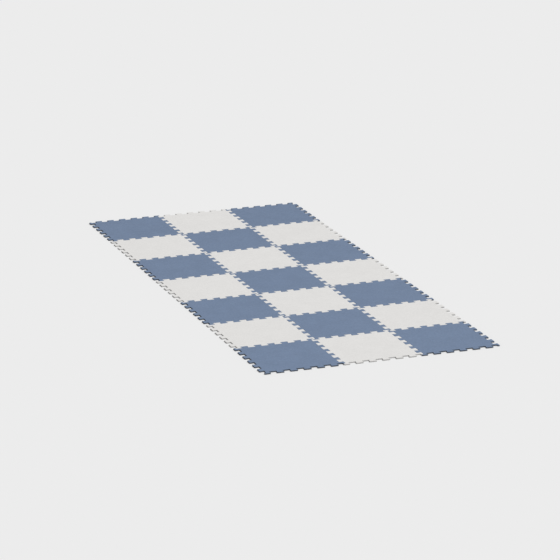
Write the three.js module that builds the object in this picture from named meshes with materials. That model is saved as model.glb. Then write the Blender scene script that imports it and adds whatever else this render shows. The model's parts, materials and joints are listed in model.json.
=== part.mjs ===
// Interlocking foam blocking mats: square die-cut EVA tiles laid as a two-colour checkerboard.
//
// Every tile has the same outline. Each side carries dovetail teeth with equal notches between
// them, and the four sides are one side turned by quarter turns, so any tile mates with any
// other. The teeth stop a tile from sliding away, and it leaves the mat by lifting straight up.
//
// Frame: millimetres, +X across the mat, +Y along it, +Z up. The origin is on the ground, under
// the centre of the mat's middle tile.

import * as THREE from 'three';

// Driving dimensions.
const COLUMN_NAMES = ['left', 'middle', 'right'];
const ROWS = 7;
const PITCH = 609.6; // tile centre to tile centre, 24 in
const THICKNESS = 9.525; // 3/8 in
const TEETH_PER_SIDE = 6;
const TOOTH_WIDTH = 52; // half way up a tooth, where the notches are equally wide
const TOOTH_DEPTH = 34.5; // notch root to tooth tip
const FLANK_ANGLE = THREE.MathUtils.degToRad(12); // dovetail: a tooth is wider at its tip
const CORNER_EASE = 6; // cut back from each tooth and notch corner along both of its edges
const SEAM_GAP = 1; // clearance between neighbouring tiles

// Worked out from them. The run of teeth is a little longer than a side.
const HALF_DEPTH = TOOTH_DEPTH / 2;
const FLANK_LEAN = HALF_DEPTH * Math.tan(FLANK_ANGLE);
const OVERRUN = (2 * TEETH_PER_SIDE * TOOTH_WIDTH - PITCH) / 2; // past each end of the side

// The two colours of foam, in the order they alternate from the front left corner.
const FOAMS = [
  { name: 'slate_foam', color: 0x74849d, roughness: 0.85, metalness: 0 },
  { name: 'ivory_foam', color: 0xdedddb, roughness: 0.85, metalness: 0 },
];

// One side's seam line as sharp corners, x along the side and y outwards from the tile.
// The first tooth is squared off where four tiles meet, and the last notch runs into the
// side that follows.
function sideCorners() {
  const corners = [
    new THREE.Vector2(HALF_DEPTH, 0),
    new THREE.Vector2(0, 0),
    new THREE.Vector2(0, HALF_DEPTH),
  ];
  for (let tooth = 0; tooth < TEETH_PER_SIDE; tooth += 1) {
    const near = 2 * tooth * TOOTH_WIDTH - OVERRUN;
    const far = near + TOOTH_WIDTH;
    if (tooth > 0) {
      corners.push(new THREE.Vector2(near + FLANK_LEAN, -HALF_DEPTH));
      corners.push(new THREE.Vector2(near - FLANK_LEAN, HALF_DEPTH));
    }
    corners.push(new THREE.Vector2(far + FLANK_LEAN, HALF_DEPTH));
    corners.push(new THREE.Vector2(far - FLANK_LEAN, -HALF_DEPTH));
  }
  return corners;
}

// The whole seam line round a tile centred on the origin, anticlockwise from the front side.
function seamCorners() {
  const centre = new THREE.Vector2();
  const corners = [];
  for (let side = 0; side < 4; side += 1) {
    for (const corner of sideCorners()) {
      const point = new THREE.Vector2(corner.x - PITCH / 2, -corner.y - PITCH / 2);
      corners.push(point.rotateAround(centre, (side * Math.PI) / 2));
    }
  }
  return corners;
}

// Unit vector from one point to another.
function direction(from, to) {
  return to.clone().sub(from).normalize();
}

// An anticlockwise outline with every edge moved inwards by the same distance.
function inset(corners, distance) {
  return corners.map((corner, i) => {
    const before = direction(corners.at(i - 1), corner);
    const after = direction(corner, corners[(i + 1) % corners.length]);
    const inward = new THREE.Vector2(-before.y - after.y, before.x + after.x);
    return corner.clone().addScaledVector(inward, distance / (1 + before.dot(after)));
  });
}

// An outline with every corner cut off by a short straight edge.
function easedShape(corners, ease) {
  const points = corners.flatMap((corner, i) => {
    const before = direction(corner, corners.at(i - 1));
    const after = direction(corner, corners[(i + 1) % corners.length]);
    return [
      corner.clone().addScaledVector(before, ease),
      corner.clone().addScaledVector(after, ease),
    ];
  });
  return new THREE.Shape(points);
}

function tileGeometry() {
  const outline = easedShape(inset(seamCorners(), SEAM_GAP / 2), CORNER_EASE);
  return new THREE.ExtrudeGeometry(outline, { depth: THICKNESS, bevelEnabled: false });
}

// One row across the mat, counted from the front.
function tileRow(row, geometry) {
  const group = new THREE.Group();
  COLUMN_NAMES.forEach((name, column) => {
    const foam = FOAMS[(row + column) % FOAMS.length];
    const tile = new THREE.Mesh(geometry, new THREE.MeshStandardMaterial(foam));
    tile.name = `tile_row${row + 1}_${name}`;
    tile.position.x = (column - (COLUMN_NAMES.length - 1) / 2) * PITCH;
    group.add(tile);
  });
  group.position.y = (row - (ROWS - 1) / 2) * PITCH;
  return group;
}

function mat() {
  const group = new THREE.Group();
  const geometry = tileGeometry();
  for (let row = 0; row < ROWS; row += 1) {
    group.add(tileRow(row, geometry));
  }
  return group;
}

export default mat();
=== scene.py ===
"""Looks for the laid mat of interlocking foam tiles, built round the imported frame.

Every tile is one die-cut piece of closed-cell foam: rounded teeth in plan, a softly rolled rim,
a slightly hollow cut edge, a grained top skin that is never quite flat, and a ribbed underside.
"""

import json
import math

import bpy
import numpy as np
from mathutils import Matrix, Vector
from mathutils.geometry import delaunay_2d_cdt


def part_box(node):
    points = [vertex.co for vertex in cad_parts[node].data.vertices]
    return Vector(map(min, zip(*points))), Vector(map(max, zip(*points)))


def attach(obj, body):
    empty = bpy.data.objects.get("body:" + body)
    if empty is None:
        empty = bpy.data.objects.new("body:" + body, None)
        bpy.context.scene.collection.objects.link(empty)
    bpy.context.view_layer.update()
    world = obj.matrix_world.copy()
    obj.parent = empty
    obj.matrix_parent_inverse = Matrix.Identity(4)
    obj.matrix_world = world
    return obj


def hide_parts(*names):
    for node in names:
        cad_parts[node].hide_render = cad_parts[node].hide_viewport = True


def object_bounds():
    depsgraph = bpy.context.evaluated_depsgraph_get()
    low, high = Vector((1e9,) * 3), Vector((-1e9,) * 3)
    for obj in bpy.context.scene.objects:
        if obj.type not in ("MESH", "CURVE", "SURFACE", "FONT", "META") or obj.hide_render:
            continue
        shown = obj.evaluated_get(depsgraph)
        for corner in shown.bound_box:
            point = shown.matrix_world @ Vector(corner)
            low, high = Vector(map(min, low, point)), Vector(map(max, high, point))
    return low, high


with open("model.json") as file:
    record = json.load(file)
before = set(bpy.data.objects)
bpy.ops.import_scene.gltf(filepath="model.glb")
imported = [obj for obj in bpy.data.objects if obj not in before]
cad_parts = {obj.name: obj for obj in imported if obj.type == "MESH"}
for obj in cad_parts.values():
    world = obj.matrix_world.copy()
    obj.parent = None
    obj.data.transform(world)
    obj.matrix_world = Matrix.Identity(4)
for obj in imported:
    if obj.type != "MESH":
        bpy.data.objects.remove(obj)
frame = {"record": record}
cad_low, cad_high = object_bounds()
record = frame["record"]


def centre(node):
    low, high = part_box(node)
    return (low + high) / 2


# Driving dimensions, in metres.
MIDDLE = "tile_row4_middle"
PITCH = (centre(MIDDLE) - centre("tile_row4_left")).x  # tile centre to tile centre
TILE_LOW, TILE_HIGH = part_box(MIDDLE)
THICKNESS = (TILE_HIGH - TILE_LOW).z
CAD_SEAM = 0.001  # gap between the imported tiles
SEAM = 0.0007  # gap between the tiles built here
TEETH = 6  # to a side
TOOTH_WIDTH = 0.052  # where a tooth and a notch are equally wide
FLANK_ANGLE = math.radians(12)
PLAN_RADIUS = 0.0055  # cut back from each corner of the teeth to where its rounding starts
PLAN_STEPS = 5  # straight pieces in one rounded corner
EDGE_STEP = 0.011  # longest straight run between outline points
GRID_STEP = 0.0125  # spacing of the points that carry the skin's waviness
GRID_SKEW = 0.3 * GRID_STEP  # a skewed grid has one best triangulation
RIM_ROOM = 0.6 * GRID_STEP  # grid points keep this far from the rim
SKIN_MARGIN = 0.0024  # width of the band between the outline and the flat skin

# Worked out from them. The run of teeth is a little longer than a side.
DEPTH = (TILE_HIGH - TILE_LOW).x - PITCH + CAD_SEAM  # notch root to tooth tip
HALF_DEPTH = DEPTH / 2
LEAN = HALF_DEPTH * math.tan(FLANK_ANGLE)
OVERRUN = (2 * TEETH * TOOTH_WIDTH - PITCH) / 2  # past each end of the side

# The cut edge from the underside up, as rings: distance in from the outline, height, and how
# much of the rim's painted highlight and polish each one shows.
EDGE_RINGS = (
    (SKIN_MARGIN, 0.0, 0.0),
    (0.0011, 0.0, 0.2),
    (0.0004, 0.00022, 0.5),
    (0.0, 0.0010, 0.3),
    (0.00022, 0.0031, 0.0),
    (0.00028, THICKNESS / 2, 0.0),
    (0.00020, THICKNESS - 0.0031, 0.0),
    (0.0, THICKNESS - 0.0015, 0.3),
    (0.00018, THICKNESS - 0.0008, 0.8),
    (0.00055, THICKNESS - 0.00033, 1.0),
    (0.00115, THICKNESS - 0.00008, 0.7),
    (SKIN_MARGIN, THICKNESS, 0.0),
)

# How far the skin strays from flat.
SWELLS = 7  # broad waves added together
SWELL_HEIGHT = 0.00011
SWELL_LENGTHS = (0.12, 0.5)
TOOTH_LIFTS = (-0.00035, 0.00030)  # a single tooth stands this low or proud at its tip
LIFT_REACH = 0.6 * TOOTH_WIDTH  # to either side of the tooth's middle


# ---------------------------------------------------------------- tile outline


def side_corners():
    """One side's seam line as sharp corners: x along the side, y outwards."""
    corners = [(HALF_DEPTH, 0), (0, 0), (0, HALF_DEPTH)]
    for tooth in range(TEETH):
        near = 2 * tooth * TOOTH_WIDTH - OVERRUN
        far = near + TOOTH_WIDTH
        if tooth:
            corners += [(near + LEAN, -HALF_DEPTH), (near - LEAN, HALF_DEPTH)]
        corners += [(far + LEAN, HALF_DEPTH), (far - LEAN, -HALF_DEPTH)]
    return np.array(corners)


def turned(points, quarters):
    """Points turned anticlockwise about the origin by a number of quarter turns."""
    angle = quarters * math.pi / 2
    cos, sin = math.cos(angle), math.sin(angle)
    return points @ np.array([[cos, sin], [-sin, cos]])


def seam_corners():
    """The whole seam line round a tile centred on the origin, anticlockwise from the front."""
    side = side_corners()
    front = np.column_stack([side[:, 0] - PITCH / 2, -side[:, 1] - PITCH / 2])
    return np.vstack([turned(front, quarters) for quarters in range(4)])


def unit(vectors):
    return vectors / np.linalg.norm(vectors, axis=-1, keepdims=True)


def inset(points, distance):
    """Every edge of an anticlockwise outline moved inwards by the same distance."""
    before = unit(points - np.roll(points, 1, axis=0))
    after = unit(np.roll(points, -1, axis=0) - points)
    total = before + after
    inward = np.column_stack([-total[:, 1], total[:, 0]])
    share = 1 + np.sum(before * after, axis=1, keepdims=True)
    return points + inward * distance / share


def rounded(corners):
    """The outline with each corner rounded by a parabola and each long straight split up."""
    points = []
    to_before = unit(np.roll(corners, 1, axis=0) - corners)
    to_after = unit(np.roll(corners, -1, axis=0) - corners)
    starts = corners + to_before * PLAN_RADIUS
    ends = corners + to_after * PLAN_RADIUS
    for i, corner in enumerate(corners):
        for u in np.linspace(0, 1, PLAN_STEPS + 1):
            points.append((1 - u) ** 2 * starts[i] + 2 * u * (1 - u) * corner + u * u * ends[i])
        following = starts[(i + 1) % len(corners)]
        run = np.linalg.norm(following - ends[i])
        pieces = int(math.ceil(run / EDGE_STEP))
        for k in range(1, pieces):
            points.append(ends[i] + (following - ends[i]) * k / pieces)
    return np.array(points)


# ---------------------------------------------------------------- tile mesh


def inside(points, outline):
    """Even-odd test of many points against a closed outline."""
    x, y = points[:, :1], points[:, 1:]
    x0, y0 = outline.T
    x1, y1 = np.roll(outline, -1, axis=0).T
    crosses = (y0 > y) != (y1 > y)
    rise = np.where(y1 == y0, 1, y1 - y0)
    return np.sum(crosses & (x < x0 + (y - y0) * (x1 - x0) / rise), axis=1) % 2 == 1


def skin_triangles(rim):
    """An even grid of points inside a closed rim, and triangles over the rim and the grid."""
    half = PITCH / 2 + DEPTH
    line = np.linspace(-half, half, int(2 * half / GRID_STEP))
    grid = np.stack(np.meshgrid(line, line), axis=-1).reshape(-1, 2)
    grid[1::2, 0] += GRID_SKEW
    grid = grid[inside(grid, rim)]
    away = np.min(np.linalg.norm(grid[:, None] - rim[None], axis=2), axis=1)
    grid = grid[away > RIM_ROOM]
    points = np.vstack([rim, grid])
    edges = [(i, (i + 1) % len(rim)) for i in range(len(rim))]
    inside_only, tolerance = 1, 1e-7
    _, _, faces, sources, _, _ = delaunay_2d_cdt(
        [Vector(point) for point in points], edges, [], inside_only, tolerance
    )
    triangles = []
    for face in faces:
        a, b, c = (min(sources[corner]) for corner in face)
        ab, ac = points[b] - points[a], points[c] - points[a]
        turn = ab[0] * ac[1] - ab[1] * ac[0]
        triangles.append((a, b, c) if turn > 0 else (a, c, b))
    return grid, triangles


def tile_plan():
    """What all tiles share: the rings of the cut edge, the skin's grid and its triangles."""
    outline = rounded(inset(seam_corners(), SEAM / 2))
    rings = [inset(outline, ring[0]) for ring in EDGE_RINGS]
    grid, triangles = skin_triangles(rings[-1])
    return rings, grid, triangles


def waviness(points, random):
    """Height the skin stands above its nominal plane: broad swells and a lift of single teeth."""
    height = np.zeros(len(points))
    for _ in range(SWELLS):
        heading = random.uniform(0, math.pi)
        length = random.uniform(*SWELL_LENGTHS)
        phase = random.uniform(0, 2 * math.pi)
        along = points @ np.array([math.cos(heading), math.sin(heading)])
        height += SWELL_HEIGHT * np.cos(2 * math.pi * along / length + phase)
    for side in range(4):
        along, inwards = turned(points, -side).T
        beyond = np.clip((HALF_DEPTH - PITCH / 2 - inwards) / DEPTH, 0, 1)
        for tooth in range(TEETH):
            at = (2 * tooth + 0.5) * TOOTH_WIDTH - OVERRUN - PITCH / 2
            near = np.exp(-(((along - at) / LIFT_REACH) ** 4))  # level, then fades fast
            height += random.uniform(*TOOTH_LIFTS) * near * beyond**2
    return height


def tile_mesh(name, plan, random):
    rings, grid, triangles = plan
    count = len(rings[0])
    skin_low, skin_high = EDGE_RINGS[0][1], EDGE_RINGS[-1][1]
    flat = np.vstack(rings + [grid, grid])
    heights = [np.full(count, ring[1]) for ring in EDGE_RINGS]
    heights += [np.full(len(grid), skin_low), np.full(len(grid), skin_high)]
    z = np.concatenate(heights)
    z = z + waviness(flat, random) * z / THICKNESS
    vertices = np.column_stack([flat, z])

    faces = []
    for k in range(len(rings) - 1):
        low, high = k * count, (k + 1) * count
        for i in range(count):
            j = (i + 1) % count
            faces.append((low + i, low + j, high + j, high + i))
    top_ring = (len(rings) - 1) * count
    low_grid = len(rings) * count
    high_grid = low_grid + len(grid)
    for face in triangles:
        faces.append([v if v < count else low_grid + v - count for v in face[::-1]])
        faces.append([top_ring + v if v < count else high_grid + v - count for v in face])

    mesh = bpy.data.meshes.new(name)
    mesh.from_pydata(vertices.tolist(), [], faces)
    mesh.shade_smooth()
    # Each vertex's share of the rim's painted highlight and polish.
    rim = np.zeros(len(vertices), np.float32)
    rim[: len(rings) * count] = np.repeat([ring[2] for ring in EDGE_RINGS], count)
    mesh.attributes.new("rim", "FLOAT", "POINT").data.foreach_set("value", rim)
    return mesh


# ---------------------------------------------------------------- materials

# Layers of noise that make the skin's tone: cells per metre, detail, roughness, the range that its
# values are read over, and its share of the foam's mottle.
TONE_LAYERS = (
    (7.0, 3.0, 0.5, (0.3, 0.7), 0.75),  # broad clouds from the foaming
    (55.0, 3.0, 0.6, (0.3, 0.7), 1.5),  # a finer mottle
    (620.0, 2.0, 0.7, (0.25, 0.75), 2.0),  # specks of the cell structure
)

# Sizes of the other patterns, in cells per metre.
PEBBLES, PEBBLE_BENDS, PIPS = 430.0, 400.0, 1500.0  # the skin's grain
PORES = 1150.0  # cells that the die cut through
RIM_PATCHES = 130.0  # how the rim's painted highlight and polish come and go
POLISHED_PATCHES = 22.0

# Ranges that they are read over: where most of their values lie, or the useful part.
PEBBLE_RANGE = (0.0, 0.26)
PORE_RANGE = (0.05, 0.55)
RIM_PATCH_RANGE = (0.35, 0.7)
PATCH_RANGE = (0.3, 0.7)
TIPPED = (0.45, 0.75)  # how far a face looks up, or down, from cut edge to skin

# What they do to brightness, where 1 leaves the foam's colour as it is.
# Painted shade in the creases between the pebbles, darker than the pebbles' tops.
CREASE_SHADE_TO_PEBBLE = (0.975, 1.005)
# Painted shade in the pits of the cut cells, darker than their walls.
PORE_SHADE_TO_WALL = (0.84, 1.06)
# A painted highlight: the rim's colour is made lighter by this share.
RIM_HIGHLIGHT = 0.07
RIM_PATCH_STRENGTH = (0.25, 1)  # share of the rim's painted highlight and polish that shows, from place to place

# Roughness.
EVEN_ROUGHNESS = 0.86  # of a foam without polished patches
PATCH_ROUGHNESS = (0.80, 0.92)  # from polished to dull
CUT_ROUGHNESS = 0.96

# Other sizes, in metres.
PEBBLE_BEND = 0.0022  # how far the creases between pebbles wander
RIB_PITCH = 0.006
RELIEF = 0.00024
PATTERN_ROOM = 3.7  # tiles take their patterns from places up to this far apart

# Heights of the relief's parts, as shares of RELIEF.
PEBBLE_HEIGHT, PIP_HEIGHT, RIB_HEIGHT = 0.85, 0.6, 2.0


class Nodes:
    """A short way to write a material's node tree."""

    def __init__(self, tree):
        self.tree = tree
        tree.nodes.clear()

    def add(self, kind, inputs=None, **settings):
        node = self.tree.nodes.new(kind)
        for key, value in settings.items():
            setattr(node, key, value)
        for key, value in (inputs or {}).items():
            if isinstance(value, bpy.types.NodeSocket):
                self.tree.links.new(value, node.inputs[key])
            else:
                node.inputs[key].default_value = value
        return node

    def math(self, operation, a, b=0.0):
        return self.add("ShaderNodeMath", {0: a, 1: b}, operation=operation).outputs[0]

    def product(self, first, *others):
        for other in others:
            first = self.math("MULTIPLY", first, other)
        return first

    def shifted(self, vector, by):
        node = self.add("ShaderNodeVectorMath", {0: vector, 1: by}, operation="ADD")
        return node.outputs[0]

    def scaled(self, vector, by):
        node = self.add("ShaderNodeVectorMath", {0: vector, 3: by}, operation="SCALE")
        return node.outputs[0]

    def remap(self, value, across, onto):
        """A smooth step over one range of the value, giving the other range."""
        inputs = {0: value, 1: across[0], 2: across[1], 3: onto[0], 4: onto[1]}
        return self.add("ShaderNodeMapRange", inputs, interpolation_type="SMOOTHSTEP").outputs[0]

    def mix(self, factor, a, b):
        return self.add("ShaderNodeMix", {0: factor, 2: a, 3: b}).outputs[0]

    def colours(self, factor, a, b):
        inputs = {0: factor, 6: (*a, 1), 7: (*b, 1)}
        return self.add("ShaderNodeMix", inputs, data_type="RGBA").outputs[2]

    def attribute(self, name, kind="GEOMETRY"):
        node = self.add("ShaderNodeAttribute", attribute_type=kind, attribute_name=name)
        return node.outputs["Fac"]

    def noise(self, at, scale, detail, roughness=0.5, space="3D", output="Fac"):
        inputs = {"Vector": at, "Scale": scale, "Detail": detail, "Roughness": roughness}
        return self.add("ShaderNodeTexNoise", inputs, noise_dimensions=space).outputs[output]

    def cells(self, at, scale, feature, space="3D"):
        inputs = {"Vector": at, "Scale": scale}
        node = self.add(
            "ShaderNodeTexVoronoi", inputs, feature=feature, voronoi_dimensions=space
        )
        return node.outputs["Distance"]


def own_place(nodes, here):
    """The tile's own coordinates, moved on by its chance number so that no two look alike."""
    chance = nodes.attribute("chance", "OBJECT")
    shift = nodes.add("ShaderNodeCombineXYZ", {0: nodes.product(chance, PATTERN_ROOM), 2: chance})
    return nodes.shifted(here, shift.outputs[0])


def upward(nodes):
    """How far the surface faces up, from -1 to 1."""
    normal = nodes.add("ShaderNodeNewGeometry").outputs["Normal"]
    return nodes.add("ShaderNodeSeparateXYZ", {0: normal}).outputs["Z"]


def leather_grain(nodes, at):
    """Rounded pebbles about 2 mm across with creases between them, from 0 to 1."""
    bend = nodes.scaled(nodes.noise(at, PEBBLE_BENDS, 1.0, space="2D", output="Color"), PEBBLE_BEND)
    edges = nodes.cells(nodes.shifted(at, bend), PEBBLES, "DISTANCE_TO_EDGE", space="2D")
    return nodes.remap(edges, PEBBLE_RANGE, (0, 1))


def anti_slip_ribs(nodes, here):
    """Two sets of ribs that cross at right angles, at 45 degrees to the tile."""
    axes = nodes.add("ShaderNodeSeparateXYZ", {0: here})
    ribs = []
    for operation in ("ADD", "SUBTRACT"):
        along = nodes.math(operation, axes.outputs["X"], axes.outputs["Y"])
        wave = nodes.math("SINE", nodes.product(along, math.pi / RIB_PITCH))
        ribs.append(nodes.math("ABSOLUTE", wave))
    return nodes.math("MINIMUM", *ribs)


def skin_tone(nodes, at, mottle):
    """Brightness of the skin round 1, from layers of noise that multiply."""
    layers = []
    for scale, detail, roughness, across, share in TONE_LAYERS:
        noise = nodes.noise(at, scale, detail, roughness)
        spread = share * mottle
        layers.append(nodes.remap(noise, across, (1 - spread, 1 + spread)))
    return nodes.product(*layers)


def rim_highlight_and_wear_mask(nodes, at):
    """How much painted highlight and polish the rim gets: patchy along the rim, and nothing
    elsewhere.
    """
    rim_patches = nodes.remap(nodes.noise(at, RIM_PATCHES, 3.0), RIM_PATCH_RANGE, RIM_PATCH_STRENGTH)
    return nodes.product(nodes.attribute("rim"), rim_patches)


def foam_roughness(nodes, at, cut, rim_highlight_and_wear, polish):
    """Polished and dull patches, a smoother rim and a rough cut edge, or one value all over."""
    if not polish:
        return EVEN_ROUGHNESS
    patches = nodes.noise(at, POLISHED_PATCHES, 3.0)
    skin = nodes.remap(patches, PATCH_RANGE, PATCH_ROUGHNESS)
    smoother = nodes.math("SUBTRACT", skin, nodes.product(rim_highlight_and_wear, polish))
    return nodes.mix(cut, smoother, CUT_ROUGHNESS)


def foam(name, skin, cut_colour_and_shade, mottle, polish):
    """Closed-cell foam: a grained moulded skin above, ribs below, and open cut cells at the edge.

    The skin's rim is painted a little lighter as a painted highlight, and polish is how much
    smoother it is as well. The cut edge's colour carries painted shade, and so do the pits of its
    cells and the creases of the grain.
    A foam with no polish has one even roughness.
    """
    material = bpy.data.materials.new(name)
    material.use_nodes = True
    nodes = Nodes(material.node_tree)
    here = nodes.add("ShaderNodeTexCoord").outputs["Object"]
    at = own_place(nodes, here)
    up = upward(nodes)
    cut = nodes.remap(nodes.math("ABSOLUTE", up), TIPPED, (1, 0))
    under = nodes.remap(nodes.product(up, -1.0), TIPPED, (0, 1))
    rim_highlight_and_wear = rim_highlight_and_wear_mask(nodes, at)
    pebbles = leather_grain(nodes, at)
    pips = nodes.noise(at, PIPS, 2.0, space="2D")
    pores = nodes.cells(at, PORES, "F1")

    # Painted shade: the creases between pebbles are darker.
    creases = nodes.remap(pebbles, (0, 1), CREASE_SHADE_TO_PEBBLE)
    # Painted highlight: the rim's colour is made lighter.
    lighter = nodes.math("ADD", nodes.product(rim_highlight_and_wear, RIM_HIGHLIGHT), 1.0)
    skin_value = nodes.product(skin_tone(nodes, at, mottle), creases, lighter)
    # Painted shade: the pits of the cut cells are darker.
    cut_value = nodes.remap(pores, PORE_RANGE, PORE_SHADE_TO_WALL)
    # The object's tone carries painted shade that darkens towards the back, and a random spread
    # from tile to tile.
    value = nodes.product(nodes.mix(cut, skin_value, cut_value), nodes.attribute("tone", "OBJECT"))
    # The cut edge takes its own colour, which carries painted shade.
    colour = nodes.scaled(nodes.colours(cut, skin, cut_colour_and_shade), value)

    pebble_relief = nodes.product(pebbles, PEBBLE_HEIGHT)
    grain = nodes.math("ADD", pebble_relief, nodes.product(pips, PIP_HEIGHT))
    ribs = nodes.product(anti_slip_ribs(nodes, here), RIB_HEIGHT)
    relief = nodes.mix(cut, nodes.mix(under, grain, ribs), pores)
    bump = nodes.add("ShaderNodeBump", {"Strength": 0.6, "Distance": RELIEF, "Height": relief})

    surface = nodes.add(
        "ShaderNodeBsdfPrincipled",
        {
            "Base Color": colour,
            "Roughness": foam_roughness(nodes, at, cut, rim_highlight_and_wear, polish),
            "Normal": bump.outputs[0],
            "Specular IOR Level": 0.30,
            "Sheen Weight": 0.04,
            "Sheen Roughness": 0.5,
        },
    )
    nodes.add("ShaderNodeOutputMaterial", {"Surface": surface.outputs[0]})
    return material


# The colour given for each foam's cut edge is its own duller cut-foam colour, darkened further with
# painted shade.
FOAMS = {
    "slate_foam": foam(
        "slate_foam",
        skin=(0.160, 0.220, 0.333),
        cut_colour_and_shade=(0.110, 0.130, 0.166),
        mottle=0.034,
        polish=0.10,
    ),
    "ivory_foam": foam(
        "ivory_foam",
        skin=(0.752, 0.742, 0.728),
        cut_colour_and_shade=(0.730, 0.722, 0.708),
        mottle=0.014,
        polish=0,
    ),
}
# Each foam's tone in the middle row, and how much painted shade darkens it one row further back.
TONE_AND_ROW_SHADE = {"slate_foam": (0.988, 0.008), "ivory_foam": (0.997, 0.001)}
TONE_SPREAD = 0.003  # random, from tile to tile
SKIN_SEED, LOOK_SEED = 100, 500  # of the first tile; the others count on from them


# ---------------------------------------------------------------- tiles


def foam_tile(number, node, slot, plan):
    mesh = tile_mesh(node, plan, np.random.default_rng(SKIN_SEED + number))
    mesh.materials.append(FOAMS[slot])
    tile = bpy.data.objects.new(f"foam_{node}", mesh)
    bpy.context.scene.collection.objects.link(tile)
    middle = centre(node)
    tile.location = (middle.x, middle.y, TILE_LOW.z)
    random = np.random.default_rng(LOOK_SEED + number)
    tile["chance"] = float(random.random())
    tone, shade_per_row = TONE_AND_ROW_SHADE[slot]
    rows_on = middle.y / PITCH
    # Painted shade: tiles get darker row by row towards the back; the spread is random from tile to
    # tile.
    tile["tone"] = tone - shade_per_row * rows_on + float(random.uniform(-TONE_SPREAD, TONE_SPREAD))
    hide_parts(node)
    return tile


def mat():
    plan = tile_plan()
    slots = {part["node"]: part["material_slot"] for part in record["subparts"]}
    bodies = sorted(record["behaviour"]["bodies"].items())
    for number, (body, (node,)) in enumerate(bodies):
        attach(foam_tile(number, node, slots[node], plan), body)


# ---------------------------------------------------------------- floor, light, camera

FLOOR_SIZE = 300.0
FLOOR_DROP = 0.0004  # below the tiles, so that the two don't flicker
KEY_ENERGY = 2.155
KEY_SIZE = math.radians(24)  # a wide lamp gives soft shadow edges
KEY_FROM = Vector((0.40, -0.37, 1.0))
# The sweep looks pale but throws little light back, as a matt paper one does.
FLOOR_SEEN, FLOOR_LIGHT = 0.829, 0.30
SKY_SEEN, SKY_LIGHT = 0.838, 0.41

CAMERA_AZIMUTH = math.radians(-20.39)
CAMERA_ELEVATION = math.radians(16.70)
CAMERA_DISTANCE = 36.8 * PITCH
CAMERA_LENS = 182.3  # mm, on a sensor 36 mm wide
CAMERA_SHIFT = Vector((0.0012, 0.0079, 0)) * PITCH  # right and up from the mat's centre


def seen_or_light(nodes, seen, light):
    """One grey where the camera looks at it, and another for the light it gives."""
    camera_ray = nodes.add("ShaderNodeLightPath").outputs["Is Camera Ray"]
    return nodes.colours(camera_ray, (light,) * 3, (seen,) * 3)


def studio_floor():
    half = FLOOR_SIZE / 2
    mesh = bpy.data.meshes.new("studio_floor")
    corners = [(-half, -half, 0), (half, -half, 0), (half, half, 0), (-half, half, 0)]
    mesh.from_pydata(corners, [], [(0, 1, 2, 3)])
    floor = bpy.data.objects.new("studio_floor", mesh)
    floor.location.z = cad_low.z - FLOOR_DROP
    bpy.context.scene.collection.objects.link(floor)
    material = bpy.data.materials.new("studio_floor")
    material.use_nodes = True
    nodes = Nodes(material.node_tree)
    shade = seen_or_light(nodes, FLOOR_SEEN, FLOOR_LIGHT)
    paint = nodes.add("ShaderNodeBsdfDiffuse", {"Color": shade})
    nodes.add("ShaderNodeOutputMaterial", {"Surface": paint.outputs[0]})
    mesh.materials.append(material)


def studio_sky():
    world = bpy.data.worlds.new("studio_sky")
    bpy.context.scene.world = world
    world.use_nodes = True
    nodes = Nodes(world.node_tree)
    sky = nodes.add("ShaderNodeBackground", {"Color": seen_or_light(nodes, SKY_SEEN, SKY_LIGHT)})
    nodes.add("ShaderNodeOutputWorld", {"Surface": sky.outputs[0]})


def key_light():
    lamp = bpy.data.lights.new("key", "SUN")
    lamp.energy = KEY_ENERGY
    lamp.angle = KEY_SIZE
    key = bpy.data.objects.new("key", lamp)
    key.rotation_mode = "QUATERNION"
    key.rotation_quaternion = KEY_FROM.to_track_quat("Z", "Y")
    bpy.context.scene.collection.objects.link(key)


def camera():
    level = math.cos(CAMERA_ELEVATION)
    back = Vector(
        (
            math.sin(CAMERA_AZIMUTH) * level,
            -math.cos(CAMERA_AZIMUTH) * level,
            math.sin(CAMERA_ELEVATION),
        )
    )
    turn = (-back).to_track_quat("-Z", "Y")
    lens = bpy.data.cameras.new("camera")
    lens.sensor_width = 36.0
    lens.lens = CAMERA_LENS
    lens.clip_end = FLOOR_SIZE
    eye = bpy.data.objects.new("camera", lens)
    mat_centre = (cad_low + cad_high) / 2
    mat_centre.z = cad_low.z
    eye.location = mat_centre + turn @ CAMERA_SHIFT + back * CAMERA_DISTANCE
    eye.rotation_mode = "QUATERNION"
    eye.rotation_quaternion = turn
    bpy.context.scene.collection.objects.link(eye)
    bpy.context.scene.camera = eye


mat()
studio_floor()
studio_sky()
key_light()
camera()
bpy.context.scene.view_settings.view_transform = "Standard"
bpy.context.scene.view_settings.look = "None"
